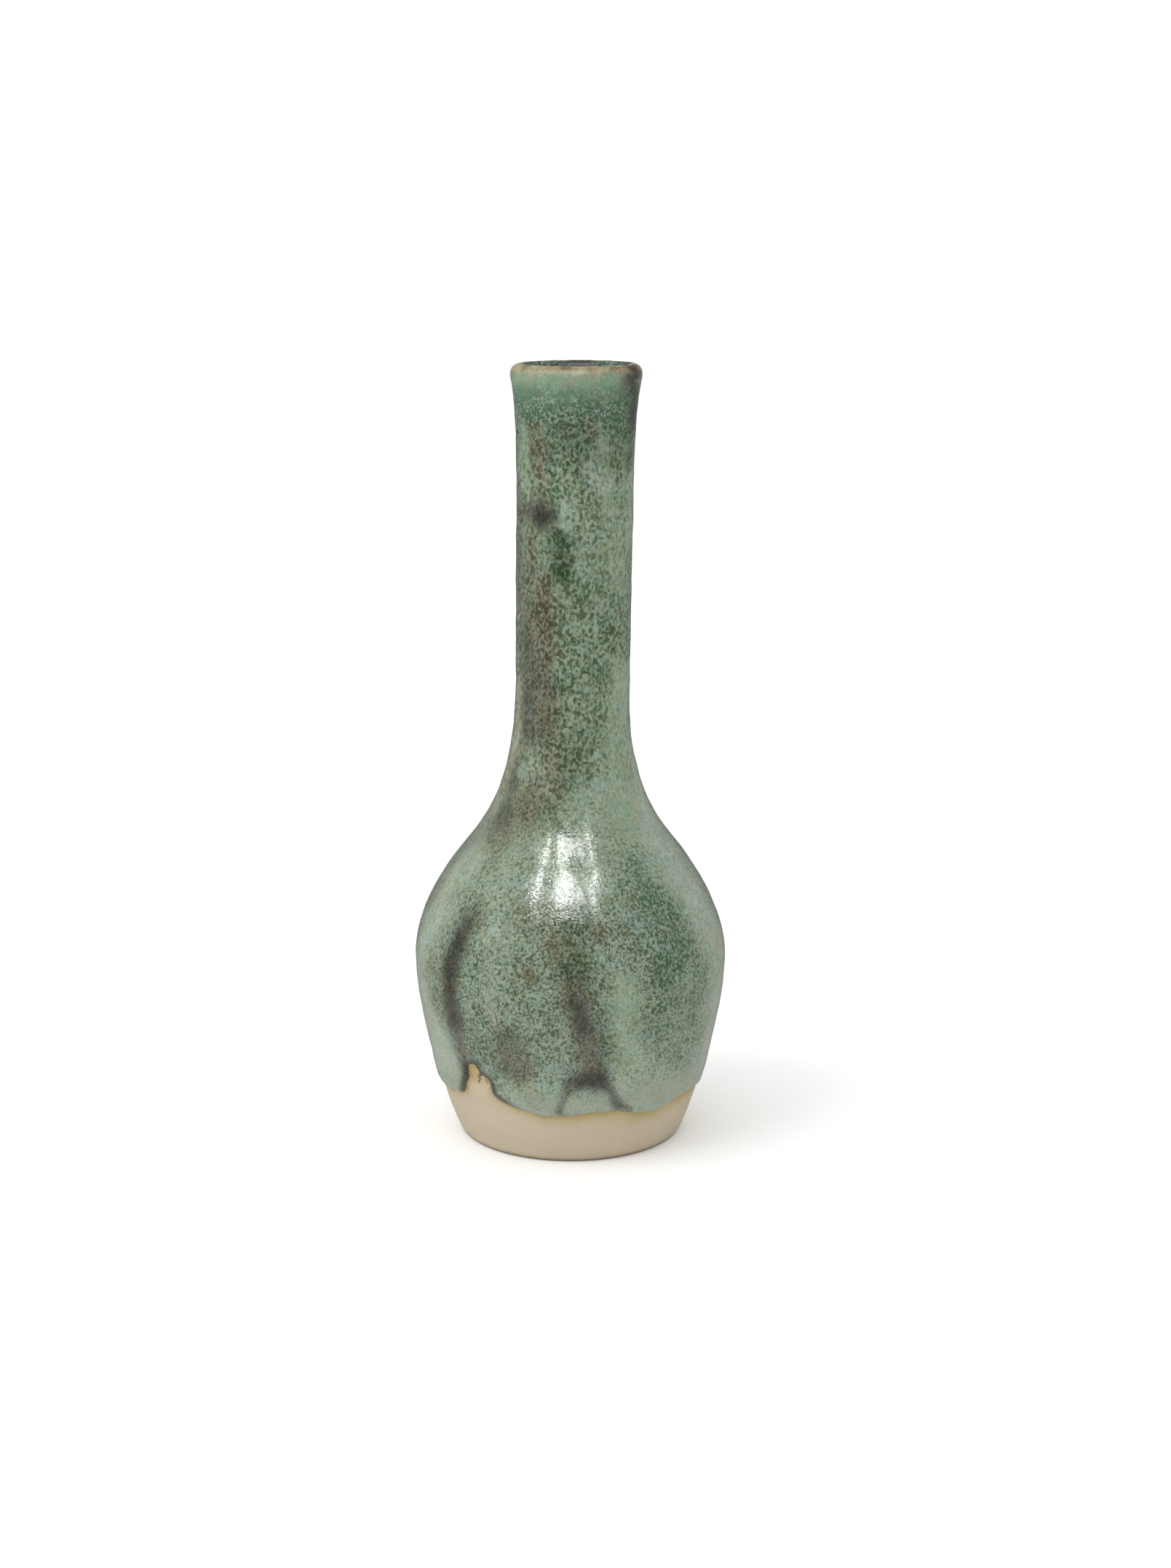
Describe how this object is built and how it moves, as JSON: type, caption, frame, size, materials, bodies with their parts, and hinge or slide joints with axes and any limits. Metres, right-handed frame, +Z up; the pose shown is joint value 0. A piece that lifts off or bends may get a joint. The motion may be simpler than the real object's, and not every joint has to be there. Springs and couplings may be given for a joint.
{
  "type": "bud vase",
  "caption": "Ceramic bud vase with a round belly, a long slender neck with a rolled lip, mottled green glaze outside and a bare buff clay foot.",
  "frame": {"origin": "middle of the face the vase stands on", "axes": "+Z up along the vase's axis, -Y towards the front, +X to the right when looking at the front; the gap between two glaze runs is front left, 42 degrees round from -Y towards -X"},
  "size_m": [0.061, 0.061, 0.15],
  "materials": {
    "bare_clay": "unglazed buff stoneware, matt, very finely speckled, ochre along the glaze's edge",
    "mottled_green_glaze": "glossy, pale mint flecks over dark green and brown, with charcoal runs, slightly pebbled",
    "lip_glaze": "glossy and thin, breaking from celadon to tan over the crest, with brown specks",
    "liner_glaze": "glossy, dark grey-green"
  },
  "bodies": {
    "root": {"clay_body": "bare_clay", "outer_glaze": "mottled_green_glaze", "lip_glaze": "lip_glaze", "liner_glaze": "liner_glaze"}
  },
  "joints": []
}
